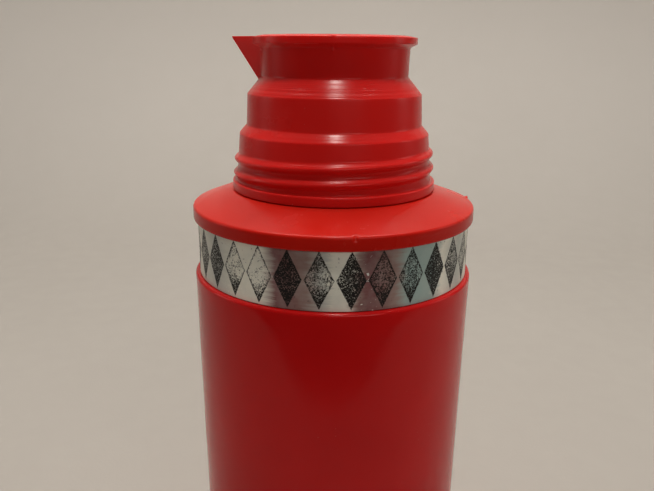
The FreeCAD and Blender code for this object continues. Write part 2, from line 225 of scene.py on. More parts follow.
# %% Material helpers
class Finish:
    """One node material, with short calls for the nodes that the finishes share."""

    def __init__(self, name, **sockets):
        self.material = bpy.data.materials.new(name)
        self.material.use_nodes = True
        self.tree = self.material.node_tree
        self.shader = self.tree.nodes["Principled BSDF"]
        for socket, value in sockets.items():
            self.shader.inputs[socket.replace("_", " ")].default_value = value
        self.where = self.tree.nodes.new("ShaderNodeTexCoord").outputs["Object"]

    def node(self, kind, inputs=None, **settings):
        made = self.tree.nodes.new("ShaderNode" + kind)
        for key, value in settings.items():
            setattr(made, key, value)
        for key, value in (inputs or {}).items():
            if isinstance(value, bpy.types.NodeSocket):
                self.tree.links.new(value, made.inputs[key])
            else:
                made.inputs[key].default_value = value
        return made

    def stretched(self, x, y, z):
        return self.node("Mapping", {"Vector": self.where, "Scale": (x, y, z)}).outputs[0]

    def noise(self, scale, detail=2.0, rough=0.5, where=None):
        inputs = {"Vector": where or self.where, "Scale": scale, "Detail": detail, "Roughness": rough}
        return self.node("TexNoise", inputs).outputs["Fac"]

    def math(self, operation, a, b=0.0, clamp=False):
        return self.node("Math", {0: a, 1: b}, operation=operation, use_clamp=clamp).outputs[0]

    def between(self, value, low, high, to_low=0.0, to_high=1.0):
        inputs = {"Value": value, "From Min": low, "From Max": high, "To Min": to_low, "To Max": to_high}
        return self.node("MapRange", inputs).outputs[0]

    def blend(self, share, first, second):
        made = self.node("Mix", {0: share}, data_type="RGBA")
        colours = [s for s in made.inputs if s.type == "RGBA"]
        for socket, value in zip(colours, (first, second)):
            if isinstance(value, bpy.types.NodeSocket):
                self.tree.links.new(value, socket)
            else:
                socket.default_value = (*value, 1)
        return [s for s in made.outputs if s.type == "RGBA"][0]

    def ramp(self, value, stops):
        """A colour for each stretch of the value; stops are (position, colour) in order."""
        made = self.node("ValToRGB", {0: value})
        marks = made.color_ramp.elements
        while len(marks) < len(stops):
            marks.new(1.0)
        for mark, (position, colour) in zip(marks, stops):
            mark.position = position
            mark.color = (*colour, 1)
        return made.outputs[0]

    def relief(self, height, depth, strength=1.0, under=None):
        inputs = {"Height": height, "Distance": depth, "Strength": strength}
        if under is not None:
            inputs["Normal"] = under
        return self.node("Bump", inputs).outputs[0]

    def feed(self, **sockets):
        for socket, value in sockets.items():
            self.tree.links.new(value, self.shader.inputs[socket.replace("_", " ")])


print("material helpers ready")

# %% [markdown]
# ## Red moulded plastic
# The case, the shoulder, the pourer and the base are one glossy red plastic, made here in three copies
# whose tones differ to make up for light: the shoulder's copy is darker because it faces the overhead
# lamp, which is painted shade, and the pourer's is paler and more orange, partly its own plastic and
# partly painted light on its walls. Sixty years of hands leave it slightly uneven: a slow drift of
# tone, a gloss that is duller where it was gripped, fine rubbed lines round the body, and tiny pale
# specks where the surface is pitted. Light goes a few millimetres into this plastic, which is why thin
# edges such as the flange and the beak glow.

# %% Red plastic
def red_plastic(name, tone, gloss, ring_depth, rub=1.0, shine=0.5):
    """Moulded red plastic. ring_depth is the height of the fine rings that the mould was turned with."""
    f = Finish(name, IOR=1.33, Specular_IOR_Level=shine, Subsurface_Weight=0.35, Subsurface_Scale=1.0,
               Subsurface_Radius=(0.0045, 0.0004, 0.0003))
    drift = f.noise(14.0, 3.0)
    dark = tuple(c * 0.86 for c in tone)
    light = (min(1.0, tone[0] * 1.08), tone[1] * 1.5, tone[2] * 1.4)
    colour = f.blend(f.between(drift, 0.3, 0.7), dark, light)
    specks = f.node("TexVoronoi", {"Vector": f.where, "Scale": 420.0}).outputs["Distance"]
    rare = f.math("MULTIPLY", f.between(specks, 0.10, 0.05), f.between(f.noise(60.0, 1.0), 0.60, 0.68), True)
    colour = f.blend(f.math("MULTIPLY", rare, 0.4 * rub), colour, (0.62, 0.20, 0.16))
    around = f.stretched(30.0, 30.0, 2600.0)
    rubbed = f.between(f.noise(1.0, 3.0, 0.6, around), 0.62, 0.80)
    patches = f.between(f.noise(38.0, 3.0), 0.48, 0.72)
    lines = f.math("MULTIPLY", f.math("MULTIPLY", rubbed, patches), rub)
    colour = f.blend(f.math("MULTIPLY", lines, 0.06), colour, (0.60, 0.14, 0.11))
    smudge = f.between(f.noise(55.0, 4.0, 0.6), 0.3, 0.7, gloss * 0.8, gloss * 1.35)
    dull = f.math("ADD", smudge, f.math("MULTIPLY", lines, 0.16))
    f.feed(Base_Color=colour, Roughness=dull)
    rings = f.noise(1.0, 1.0, 0.5, f.stretched(2.0, 2.0, 1300.0))
    upward = f.node("SeparateXYZ", {0: f.node("NewGeometry").outputs["Normal"]}).outputs["Z"]
    rings = f.math("MULTIPLY", rings, f.between(upward, 0.15, 0.5, 0.10, 1.0))
    skin = f.relief(f.noise(900.0, 2.0), 0.00001, 0.6)
    f.feed(Normal=f.relief(rings, ring_depth, 1.0, skin))
    return f.material


# Tones set by how each part is lit: the shoulder's is darker as painted shade, the pourer's paler partly as painted
# light.
pourer_red = red_plastic("pourer_red", (0.69, 0.0120, 0.0105), 0.21, 0.00022, shine=0.38)
shoulder_red_painted_shade = red_plastic("shoulder_red_painted_shade", (0.56, 0.0110, 0.0060), 0.22, 0.000003, rub=0.05, shine=0.27)
case_red = red_plastic("case_red", (0.60, 0.0075, 0.0080), 0.14, 0.000004, shine=0.35)
print("reds:", pourer_red.name, shoulder_red_painted_shade.name, case_red.name)

# %% [markdown]
# ## Lathing a smooth outline
# Nearly every part of a flask is turned. An outline is a list of corners: radius, height, and how
# far the corner is rounded, all in millimetres. rounded() replaces each rounded corner by a short
# arc, cuts the long runs where a finer mesh is asked for, and lathe() spins the result. The spun
# point may be moved by a shape function, which is how threads, the beak and small damage are made
# without cutting one mesh with another.

# %% Outlines and lathe
def towards(a, b):
    """Unit direction from a to b, and the distance."""
    length = math.hypot(b[0] - a[0], b[1] - a[1])
    return (b[0] - a[0]) / length, (b[1] - a[1]) / length, length


def corner_arc(before, corner, after, steps):
    """Points of the arc that rounds one corner."""
    ax, ay, reach_a = towards(corner, before)
    bx, by, reach_b = towards(corner, after)
    half = math.acos(max(-0.9999, min(0.9999, ax * bx + ay * by))) / 2
    run = min(corner[2] / math.tan(half), 0.48 * reach_a, 0.48 * reach_b)
    start = (corner[0] + ax * run, corner[1] + ay * run)
    end = (corner[0] + bx * run, corner[1] + by * run)
    points = []
    for i in range(steps + 1):
        t = i / steps
        away = 2 * t * (1 - t)
        weight = away * math.sin(half) + (1 - t) ** 2 + t ** 2
        x = ((1 - t) ** 2 * start[0] + away * math.sin(half) * corner[0] + t ** 2 * end[0]) / weight
        y = ((1 - t) ** 2 * start[1] + away * math.sin(half) * corner[1] + t ** 2 * end[1]) / weight
        points.append((x, y))
    return points


def rounded(corners, longest=3.0, steps=6):
    """Closed outline in millimetres; longest may be a number or a function of the middle of a run."""
    points = []
    for i, corner in enumerate(corners):
        if len(corner) == 3 and corner[2] > 0:
            points += corner_arc(corners[i - 1], corner, corners[(i + 1) % len(corners)], steps)
        else:
            points.append(corner[:2])
    outline = []
    for i, point in enumerate(points):
        after = points[(i + 1) % len(points)]
        length = math.hypot(after[0] - point[0], after[1] - point[1])
        middle = ((point[0] + after[0]) / 2, (point[1] + after[1]) / 2)
        allowed = longest(middle) if callable(longest) else longest
        cuts = max(1, math.ceil(length / allowed))
        for k in range(cuts):
            t = k / cuts
            outline.append((point[0] + (after[0] - point[0]) * t, point[1] + (after[1] - point[1]) * t))
    return outline


def even_angles(count):
    return [2 * math.pi * i / count for i in range(count)]


def lathe(name, outline, angles, shape=None, crease=38.0):
    """Spin a closed outline. shape(radius, height, angle) may return a moved radius and height."""
    points = []
    for angle in angles:
        cos_a, sin_a = math.cos(angle), math.sin(angle)
        for radius, height in outline:
            if shape is not None:
                radius, height = shape(radius, height, angle)
            points.append((radius * cos_a * MM, radius * sin_a * MM, SEAM + height * MM))
    rows = len(outline)
    turns = len(angles)
    faces = []
    for i in range(turns):
        here, there = i * rows, (i + 1) % turns * rows
        for j in range(rows):
            k = (j + 1) % rows
            faces.append((here + j, there + j, there + k, here + k))
    return mesh_piece(name, points, faces, crease)


def mesh_piece(name, points, faces, crease=38.0):
    """A mesh object with smooth faces that stay sharp where they meet at more than crease degrees."""
    mesh = bpy.data.meshes.new(name)
    mesh.from_pydata(points, [], faces)
    mesh.polygons.foreach_set("use_smooth", [True] * len(mesh.polygons))
    mesh.set_sharp_from_angle(angle=math.radians(crease))
    mesh.update()
    piece = bpy.data.objects.new(name, mesh)
    bpy.context.scene.collection.objects.link(piece)
    return piece


def stands_for(piece, node, material):
    """The piece takes the place of one frame node, rides on its body and wears the material."""
    piece.data.materials.append(material)
    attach(piece, nodes[node]["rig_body"])
    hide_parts(node)
    print(piece.name, "for", node + ":", len(piece.data.polygons), "faces")
    return piece


def smooth_step(t):
    t = max(0.0, min(1.0, t))
    return t * t * (3 - 2 * t)


def soft_max(a, b, soft):
    """The larger of two radii, with a small fillet where they cross."""
    share = max(soft - abs(a - b), 0.0) / soft
    return max(a, b) + share * share * soft / 4


# %% [markdown]
# ## The case
# The case is a long moulded tube with a rounded lip. It is a little wider at the top, because a
# moulding needs that to leave its mould. The outline goes up the outside, over the lip and down
# the inside, so the wall has its real thickness.

# %% Case
FOOT = (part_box("body_shell")[0].z - SEAM) / MM
CASE_TOP = (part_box("body_shell")[1].z - SEAM) / MM
CASE_TOP_RADIUS = 57.49
CASE_FOOT_RADIUS = 55.7
CASE_WALL = 2.4
case_outline = rounded([
    (CASE_FOOT_RADIUS, FOOT, 0.5), (CASE_TOP_RADIUS, CASE_TOP, 2.2),
    (CASE_TOP_RADIUS - CASE_WALL - 0.1, CASE_TOP, 0.3), (CASE_FOOT_RADIUS - CASE_WALL, FOOT + 16.0),
    (CASE_FOOT_RADIUS - CASE_WALL, FOOT, 0.4)], longest=6.0)
NICK_HEIGHT = -44.0
NICK_ANGLE = math.radians(183.0)


def case_shape(radius, height, angle):
    """The long wall is a hair out of true, as thin mouldings are."""
    if radius > 54.0:
        level = smooth_step((CASE_TOP - 3.0 - height) / 30.0)
        radius += level * 0.05 * math.sin(2 * angle + 0.6) + level * 0.03 * math.sin(3 * angle - 1.0)
    return radius, height


case = lathe("case_wall", case_outline, even_angles(240), case_shape)
stands_for(case, "body_shell", case_red)

# %% [markdown]
# ## The shoulder
# The shoulder is a shallow cone with a rolled edge that overhangs the band. It isn't perfect: the
# edge has a small nick at the front and a tick of moulding flash at the right. Its neck carries the
# two-start screw that the pourer turns on.

# %% Screw ribs
SCREW_LEAD = 10.0
SCREW_RIB = 1.7
SCREW_TURN = 0.6


def screw_rib(height, angle, first, starts=2, lead=SCREW_LEAD, turns=SCREW_TURN, half=1.0, flat=0.55):
    """How far up a rib a point is, from 0 between the ribs to 1 on a crest."""
    share = 0.0
    for start in range(starts):
        run = (angle - 2 * math.pi * start / starts) % (2 * math.pi)
        while run <= turns * 2 * math.pi:
            off = abs(height - first - lead * run / (2 * math.pi))
            ends = min(run, turns * 2 * math.pi - run) / math.radians(14)
            share = max(share, smooth_step((half - off) / (half - flat)) * smooth_step(ends))
            run += 2 * math.pi
    return share


POURER_THREAD = 38.5             # where the pourer's own ribs start, above the seam
UPSTAND_RADIUS = 33.2
print("rib share on its crest:", round(screw_rib(POURER_THREAD, 0.5, POURER_THREAD - 0.8), 2))

# %% Shoulder
EDGE_LOW = 22.5
EDGE_TOP = 27.3
LAND = 33.2
UPSTAND_BORE = 31.0
UPSTAND_TOP = 52.0
SPIGOT = 52.75
EDGE_RADIUS = SHOULDER_RADIUS / MM
EDGE_DRIP = 55.8                 # outside this radius the edge hangs a little over the band
EDGE_FINE = 54.6                 # and outside this one the cone has finer cells, for its damage
EDGE_SLOPE = (LAND - EDGE_TOP) / (EDGE_RADIUS - SKIRT_RADIUS / MM - 0.6)
EDGE_FINE_HEIGHT = EDGE_TOP + (EDGE_RADIUS - EDGE_FINE) * EDGE_SLOPE
shoulder_corners = [
    (SPIGOT - 2.2, EDGE_LOW - 10, 0.5), (SPIGOT, EDGE_LOW - 10, 0.5), (SPIGOT, EDGE_LOW),
    (EDGE_DRIP, EDGE_LOW), (EDGE_DRIP, EDGE_LOW - 0.45, 0.15), (EDGE_RADIUS, EDGE_LOW - 0.45, 0.9),
    (EDGE_RADIUS, EDGE_TOP, 1.1), (EDGE_FINE, EDGE_FINE_HEIGHT), (SKIRT_RADIUS / MM + 0.6, LAND, 1.0),
    (UPSTAND_RADIUS, LAND), (UPSTAND_RADIUS, UPSTAND_TOP, 0.6), (UPSTAND_BORE, UPSTAND_TOP, 0.6),
    (UPSTAND_BORE, LAND - 2.4, 0.6), (SKIRT_RADIUS / MM - 1, LAND - 2.4, 0.6), (SPIGOT - 2.2, EDGE_LOW + 2.6, 1.0)]


def shoulder_grid(middle):
    """Fine at the damaged edge and on the screw, coarse elsewhere."""
    radius, height = middle
    if radius > 54.5:
        return 0.4
    return 0.45 if abs(radius - UPSTAND_RADIUS) < 0.3 else 3.0


NICK_AT = math.radians(277.7)
FLASH_AT = math.radians(7.0)


def shoulder_shape(radius, height, angle):
    """Screw ribs on the neck, a nick in the edge and a tick of flash."""
    if abs(radius - UPSTAND_RADIUS) < 0.05:
        radius += SCREW_RIB * screw_rib(height, angle, POURER_THREAD + SCREW_LEAD / 4)
    if radius > 55.0 and height > EDGE_TOP - 2.0:
        off = (angle - NICK_AT) * radius
        cut = math.exp(-(off / 0.8) ** 2) * smooth_step((radius - 55.9) / 1.0)
        cut *= smooth_step((height - EDGE_TOP + 2.0) / 1.4)
        radius -= 0.38 * cut
        height -= 0.22 * cut
        tick = math.exp(-((angle - FLASH_AT) * radius / 0.75) ** 2) * smooth_step((radius - 56.2) / 0.8)
        radius += 0.35 * tick
        height += 0.75 * tick
        radius += 0.04 * math.sin(5 * angle) * smooth_step((radius - 55.0) / 2.0)
    return radius, height


def damage_angles():
    """Even angles with close ones at the nick and at the flash."""
    angles = set(round(a, 5) for a in even_angles(240))
    for place in (NICK_AT, FLASH_AT):
        for i in range(-14, 15):
            angles.add(round(place + i * math.radians(0.22), 5))
    return sorted(angles)


shoulder = lathe("shoulder_plate", rounded(shoulder_corners, shoulder_grid), damage_angles(), shoulder_shape)
stands_for(shoulder, "shoulder_ring", shoulder_red_painted_shade)

# %% [markdown]
# ## The pourer
# The pourer is the showpiece: a stepped cone with a bead thread for the cup, a beak that grows out
# of its left side and a flat flange round the mouth. It is lathed once, from a single outline.
# The bead is added to the wall; the beak is "the larger of two radii", with a small fillet where they cross.

# %% Pourer outline
STEP_3 = (39.3, 37.8)
STEP_2 = (35.0, 34.4)
STEP_1 = (28.9, 29.25)
FLANGE_RADIUS = 31.9
MOUTH_RADIUS = 26.4
SKIRT = SKIRT_RADIUS / MM
pourer_corners = [
    (35.3, 33.5, 0.3), (SKIRT, 33.5, 0.4), (SKIRT, 37.1, 0.5), (STEP_3[0], 37.1, 0.5),
    (STEP_3[1], 55.5, 1.2), (STEP_2[0], 58.7, 1.2), (STEP_2[1], 70.6, 0.9), (STEP_1[0], 77.2, 1.0),
    (STEP_1[1], 87.9, 0.5), (FLANGE_RADIUS, 89.3, 0.3), (FLANGE_RADIUS, 91.7, 0.3),
    (MOUTH_RADIUS + 2.0, RIM / MM, 2.0), (MOUTH_RADIUS, RIM / MM, 0.7), (MOUTH_RADIUS, 70.2, 1.0),
    (22.2, 70.2, 0.6), (22.2, 67.2, 0.4), (31.8, 67.2, 0.8), (31.8, 58.5, 1.0), (35.3, 54.5, 0.8)]

BEAK_TIP = 40.0
BEAK_TOP = 91.9                  # between the flange's edge and its crown, so that the rim's line runs on
BEAK_EDGE = 0.6
BEAK_ROOT = 25.0
BEAK_HALF_WIDTH = 12.1
BEAK_DROP = 23.7
CHANNEL_SHIFT = 2.6
CUP_PITCH = 5.6
CUP_PROUD = 1.5
CUP_HALF = 2.4
CUP_START = math.radians(100)
CUP_TURNS = 1.9
CUP_LOW = 41.2 - CUP_PITCH * (270 - 100) / 360


def beak_reach(height, angle, root, heel):
    """Radius of the wedge in this direction at this height, from its two slanting sides."""
    rise = (height - heel) / BEAK_DROP
    if rise <= 0:
        return 0.0
    tip = root + (BEAK_TIP - BEAK_ROOT) * rise
    half = BEAK_HALF_WIDTH * rise
    toward, aside = -math.cos(angle), abs(math.sin(angle))
    if toward <= 0:
        return 0.0
    slope = half / (tip - root)
    return max(0.0, slope * tip / (slope * toward + aside))


def cup_bead(height, angle):
    """Radius of the cup's bead thread, which fades in and out at its two ends."""
    run = (angle - CUP_START) % (2 * math.pi)
    best = 0.0
    while run <= CUP_TURNS * 2 * math.pi:
        off = abs(height - CUP_LOW - CUP_PITCH * run / (2 * math.pi))
        ends = smooth_step(min(run, CUP_TURNS * 2 * math.pi - run) / math.radians(16))
        if off < CUP_HALF:
            crown = 0.5 + 0.5 * math.cos(math.pi * off / CUP_HALF)
            best = max(best, CUP_PROUD * crown * ends)
        run += 2 * math.pi
    return best


def pourer_shape(radius, height, angle):
    """Adds the bead, the beak and the ribs inside; the channel is cut later."""
    if SKIRT - 4.0 < radius < SKIRT - 1.0 and 37.2 < height < 55.0:
        return radius + cup_bead(height, angle), height
    if abs(radius - 35.3) < 0.05:
        return radius - SCREW_RIB * screw_rib(height, angle, POURER_THREAD), height
    outside = radius > 28.5 and height > 66.0 and (radius > MOUTH_RADIUS + 2.3 or height < 90.0)
    if outside and height < BEAK_TOP:
        reach = beak_reach(height, angle, BEAK_ROOT, BEAK_TOP - BEAK_EDGE - BEAK_DROP)
        radius = soft_max(radius, min(reach, BEAK_TIP), 0.5)
    return radius, height


print("bead at the front in mm:", round(cup_bead(41.2, math.radians(270)), 2))

# %% [markdown]
# The mesh needs short cells only where something happens: on the beads, on the inner ribs and
# round the beak. The angles are close together near the beak's two sides and its edge.

# %% Pourer mesh
def pourer_grid(middle):
    radius, height = middle
    if radius > 37.0 and 37.2 < height < 55.5:
        return 0.28
    if 66.0 < height < 93.0 and radius > 28.0:
        return 0.5
    return 0.45 if abs(radius - 35.3) < 0.3 and height < 55.0 else 1.5


def pourer_angles():
    angles = set(round(a, 5) for a in even_angles(360))
    for i in range(-90, 91):
        angles.add(round(math.pi + math.radians(0.3) * i, 5))
    return sorted(angles)


pourer = lathe("pourer_shell", rounded(pourer_corners, pourer_grid, 5), pourer_angles(), pourer_shape, 32.0)


# %% [markdown]
# The channel inside the beak is a wedge taken out of the finished shell, the way the core of the
# mould leaves it: the same shape as the beak, one wall nearer the axis.

# %% Pouring channel
def wedge(root, heel, size):
    """The channel's core as a closed mesh."""
    top = heel + BEAK_DROP * size + BEAK_EDGE
    tip = root + (BEAK_TIP - BEAK_ROOT) * size
    half = BEAK_HALF_WIDTH * size
    corners = [(-tip, 0, top), (-tip, 0, top - BEAK_EDGE), (-root, half, top), (-root, -half, top), (-root, 0, heel)]
    points = [(x * MM, y * MM, SEAM + z * MM) for x, y, z in corners]
    faces = [(0, 3, 2), (2, 3, 4), (1, 2, 4), (1, 4, 3), (0, 2, 1), (0, 1, 3)]
    return mesh_piece("channel_core", points, faces)


core = wedge(BEAK_ROOT - CHANNEL_SHIFT, BEAK_TOP - BEAK_DROP, 1.2)
cut = pourer.modifiers.new("channel", "BOOLEAN")
cut.operation = "DIFFERENCE"
cut.solver = "EXACT"
cut.object = core
bpy.context.view_layer.update()
seen = pourer.evaluated_get(bpy.context.evaluated_depsgraph_get())
finished = bpy.data.meshes.new_from_object(seen)
pourer.modifiers.clear()
pourer.data = finished
bpy.data.objects.remove(core)
pourer.data.materials.clear()
stands_for(pourer, "pourer", pourer_red)

# %% [markdown]
# ## The base cap
# A screwed foot closes the case. From the side only its flange shows, as a thin line above the
# table. Underneath it has a recessed floor with radial ribs for a grip.

# %% Base cap
cap_floor = 3.4 - SEAM / MM
cap_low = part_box("base_cap")[0].z / MM - SEAM / MM
cap_seam = cap_low + 5.7
cap_top = cap_low + 22.0
GRIP_RIBS = 8


def cap_grid(middle):
    radius, height = middle
    if abs(radius - 51.0) < 0.3:
        return 0.5
    return 1.0 if height < cap_low + 3.5 and radius < 47.2 else 3.0


def cap_shape(radius, height, angle):
    """Screw ribs on the neck, and radial ribs with a boss under the floor."""
    if abs(radius - 51.0) < 0.05 and height > cap_seam + 0.5:
        radius += SCREW_RIB * screw_rib(height, angle, cap_low + 10.0)
    if radius < 46.0 and height < cap_floor + 0.3:
        pitch = 2 * math.pi / GRIP_RIBS
        off = abs((angle + pitch / 2) % pitch - pitch / 2) * radius
        rib = smooth_step((1.5 - off) / 0.6) * smooth_step((45.5 - radius) / 0.8)
        height -= 2.6 * max(rib, smooth_step((9.4 - radius) / 0.8))
    return radius, height


def rib_angles():
    angles = set(round(a, 5) for a in even_angles(240))
    for i in range(GRIP_RIBS):
        for k in range(-10, 11):
            angles.add(round((2 * math.pi * i / GRIP_RIBS + math.radians(0.4) * k) % (2 * math.pi), 5))
    return sorted(angles)


cap_corners = [
    (0.02, cap_floor), (47.0, cap_floor, 0.8), (47.0, cap_low, 0.8), (55.7, cap_low, 2.0),
    (55.7, cap_seam, 0.5), (51.0, cap_seam), (51.0, cap_top, 0.6), (48.6, cap_top, 0.6),
    (48.6, cap_floor + 2.6, 1.0), (0.02, cap_floor + 2.6)]
base_cap = lathe("base_foot", rounded(cap_corners, cap_grid), rib_angles(), cap_shape)
stands_for(base_cap, "base_cap", case_red)

# %% [markdown]
# ## The decorated band
# A strip of bright foil is wrapped round the dark carrier between the case and the shoulder. It
# carries a row of tall black rhombs. The ink lies in a shallow pressed recess, so the rhombs catch
# the light along their edges. The strip is one mesh: 31 equal cells of evenly spaced columns.

# %% Band mesh
RHOMBS = 31
RHOMB_PITCH = 2 * math.pi / RHOMBS
RHOMB_FIRST = math.radians(-4.75)       # from the front, towards the right
RHOMB_HALF_WIDTH = 5.4
RHOMB_HALF_HEIGHT = 10.85
RECESS = 0.05
band_low = (BAND_LOW - SEAM) / MM
band_high = (BAND_HIGH - SEAM) / MM
band_middle = (band_low + band_high) / 2


def band_mesh(columns_per_cell=20, rows=60):
    """The foil strip with its pressed rhombs, and a plain back 0.28 mm inside it."""
    random.seed(7)
    radius = BAND_RADIUS / MM
    columns = RHOMBS * columns_per_cell
    points = []
    for i in range(columns):
        share = i / columns_per_cell
        angle = RHOMB_FIRST + share * RHOMB_PITCH
        off = abs((share + 0.5) % 1.0 - 0.5) * RHOMB_PITCH * radius
        for j in range(rows + 1):
            height = band_low + (band_high - band_low) * j / rows
            edge = off / RHOMB_HALF_WIDTH + abs(height - band_middle) / RHOMB_HALF_HEIGHT
            depth = RECESS * smooth_step((1.0 - edge) / 0.10)
            dimple = random.uniform(0, 0.018) if edge < 0.93 else random.uniform(0, 0.002)
            r = radius - depth - dimple
            points.append((r * math.sin(angle), -r * math.cos(angle), height))
        for height in (band_high, band_low):
            points.append(((radius - 0.28) * math.sin(angle), -(radius - 0.28) * math.cos(angle), height))
    stride = rows + 3
    faces = []
    for i in range(columns):
        here, there = i * stride, (i + 1) % columns * stride
        for j in range(stride):
            k = (j + 1) % stride
            faces.append((here + j, there + j, there + k, here + k))
    points = [(x * MM, y * MM, SEAM + z * MM) for x, y, z in points]
    return mesh_piece("foil_band", points, faces, 40.0)


foil_band = band_mesh()
print("band faces:", len(foil_band.data.polygons))

# %% [markdown]
# The ink is printed, so its edge is sharp however coarse the mesh is: the material works the
# rhomb out from the object coordinates. Each rhomb also draws a number of its own, which decides
# how worn it is. Ink has rubbed off the middle of the ones that a thumb meets, and stays along the
# outline and in the lower tips. The foil itself is satin, with fine scratches in every direction;
# where they are handled the scratches are painted near-white, a painted glint. The foil's colour
# round the band is painted reflection with tarnish: zones of pale, silver, grey, brown, plum and
# teal set by angle, with the pale and silver set brighter to make up for the shade under the
# shoulder's edge.

# %% Foil and ink
WORN_RHOMBS = ((-2, 1.0), (-3, 0.75), (0, 0.45), (2, 0.45))
SILVER = (0.94, 0.92, 0.80)
PALE = (1.0, 0.98, 0.86)
GREY = (0.60, 0.61, 0.56)
PLUM = (0.23, 0.075, 0.080)
BROWN = (0.34, 0.21, 0.185)
TEAL = (0.38, 0.51, 0.48)
# Colour zones by angle: painted reflections with tarnish; pale and silver brightened against the shade under the
# shoulder's edge.
FOIL_REFLECTION_AND_TARNISH = (                      # degrees from the front, towards the right
    (-180, GREY), (-158, SILVER), (-150, BROWN), (-138, GREY), (-110, SILVER), (-92, TEAL), (-72, PALE),
    (-50, GREY), (-38, SILVER), (-26, PALE),
    (-21, PLUM), (-10, BROWN), (-3, GREY), (0, SILVER), (6, PALE), (9, BROWN), (13, PLUM), (24, BROWN),
    (28, TEAL), (40, TEAL), (46, PALE), (58, GREY), (70, PALE), (95, GREY), (112, SILVER), (124, PLUM),
    (133, GREY), (155, SILVER))


def foil_and_ink():
    f = Finish("foil_and_ink", IOR=1.30)
    place = f.node("SeparateXYZ", {0: f.where})
    x, y, z = place.outputs
    turn = f.math("ARCTAN2", x, f.math("MULTIPLY", y, -1.0))
    cell = f.math("DIVIDE", f.math("SUBTRACT", turn, RHOMB_FIRST), RHOMB_PITCH)
    index = f.math("FLOOR", f.math("ADD", cell, 0.5))
    across = f.math("ABSOLUTE", f.math("SUBTRACT", cell, index))
    across = f.math("MULTIPLY", across, RHOMB_PITCH * BAND_RADIUS / MM / RHOMB_HALF_WIDTH)
    middle = SEAM + band_middle * MM
    rise = f.math("DIVIDE", f.math("SUBTRACT", z, middle), RHOMB_HALF_HEIGHT * MM)
    edge = f.math("ADD", across, f.math("ABSOLUTE", rise))
    wobble = f.math("MULTIPLY", f.math("SUBTRACT", f.noise(1300.0, 3.0, 0.7), 0.5), 0.16)
    edge = f.math("ADD", edge, wobble)
    inside = f.between(edge, 1.0, 0.965)
    core_share = f.between(edge, 0.99, 0.80)
    own = f.node("TexWhiteNoise", {"W": index}, noise_dimensions="1D").outputs["Value"]
    worn = f.between(own, 0.0, 1.0, 0.12, 0.45)
    for number, amount in WORN_RHOMBS:
        hit = f.node("Math", {0: index, 1: float(number), 2: 0.4}, operation="COMPARE").outputs[0]
        worn = f.math("MAXIMUM", worn, f.math("MULTIPLY", hit, amount))
    lower = f.between(rise, -0.15, -0.75)
    worn = f.math("MULTIPLY", worn, f.between(lower, 0.0, 1.0, 1.0, 0.15))
    patch = f.between(f.noise(210.0, 4.0, 0.65), 0.38, 0.62)
    rub = f.math("MULTIPLY", f.math("MULTIPLY", worn, core_share), f.between(patch, 0.0, 1.0, 0.55, 1.25), True)
    grain = f.noise(1900.0, 3.0, 0.7)
    speckle = f.between(grain, 0.575, 0.64)
    level = f.math("ADD", rub, f.math("MULTIPLY", f.math("SUBTRACT", grain, 0.5), 2.8))
    bare = f.math("MAXIMUM", f.math("MULTIPLY", speckle, 0.6), f.between(level, 0.20, 0.62))
    bare = f.math("MULTIPLY", bare, f.between(edge, 1.0, 0.93, 0.35, 1.0))
    ink = f.math("MULTIPLY", inside, f.math("SUBTRACT", 1.0, bare), True)

    streak = f.noise(1.0, 3.0, 0.6, f.stretched(60.0, 60.0, 700.0))
    drift = f.math("MULTIPLY", f.math("SUBTRACT", streak, 0.5), 0.022)
    share = f.math("ADD", f.math("DIVIDE", turn, 2 * math.pi), f.math("ADD", drift, 0.5))
    # Painted reflections and tarnish round the band, by angle.
    foil = f.ramp(share, [((degrees + 180) / 360, colour) for degrees, colour in FOIL_REFLECTION_AND_TARNISH])
    cloud = f.between(f.noise(150.0, 4.0, 0.65), 0.35, 0.65)
    foil = f.blend(f.math("MULTIPLY", cloud, 0.22), foil, GREY)
    slanted = f.node("Mapping", {"Vector": f.where, "Rotation": (0.5, 0.7, 0.3), "Scale": (300.0, 2600.0, 700.0)})
    scratch_glints = f.between(f.noise(1.0, 2.0, 0.6, slanted.outputs[0]), 0.655, 0.70)
    handled = f.between(f.noise(50.0, 2.0), 0.46, 0.58)
    # Painted glints: the scratches are the foil's own, their near-white brightness is painted light.
    foil = f.blend(f.math("MULTIPLY", scratch_glints, handled), foil, (0.95, 0.95, 0.90))
    spots = f.between(f.noise(640.0, 2.0, 0.6), 0.68, 0.73)
    foil = f.blend(f.math("MULTIPLY", spots, 0.5), foil, (0.10, 0.08, 0.09))
    hair = f.node("TexWave", {"Vector": f.stretched(900.0, 900.0, 260.0), "Scale": 0.6, "Distortion": 9.0,
                              "Detail": 3.0, "Detail Scale": 1.6}).outputs["Fac"]
    colour = f.blend(ink, foil, (0.012, 0.011, 0.010))
    metal = f.between(ink, 0.0, 1.0, 0.20, 0.0)
    satin = f.between(f.noise(300.0, 3.0, 0.6), 0.3, 0.7, 0.30, 0.44)
    rough = f.math("ADD", satin, f.math("MULTIPLY", ink, 0.14))
    f.feed(Base_Color=colour, Metallic=metal, Roughness=rough)
    scratch = f.noise(1.0, 4.0, 0.7, f.stretched(260.0, 260.0, 3800.0))
    steep = f.noise(1.0, 3.0, 0.7, f.stretched(2600.0, 2600.0, 420.0))
    first = f.relief(f.math("ADD", scratch, f.math("MULTIPLY", steep, 0.7)), 0.00002, 0.45)
    second = f.relief(hair, 0.000008, 0.35, first)
    hammer = f.math("MULTIPLY", grain, inside)
    f.feed(Normal=f.relief(hammer, 0.00011, 0.8, second))
    return f.material


stands_for(foil_band, "decor_band", foil_and_ink())

# %% [markdown]
# ## The sweep's paint
# Matt painted board with the faint stipple that paint leaves. It is painted from a mid grey on the
# floor to pale 0.45 m up the wall: painted shade on the brightly lit floor and painted light higher
# up, to even out how the lamps light the sweep.

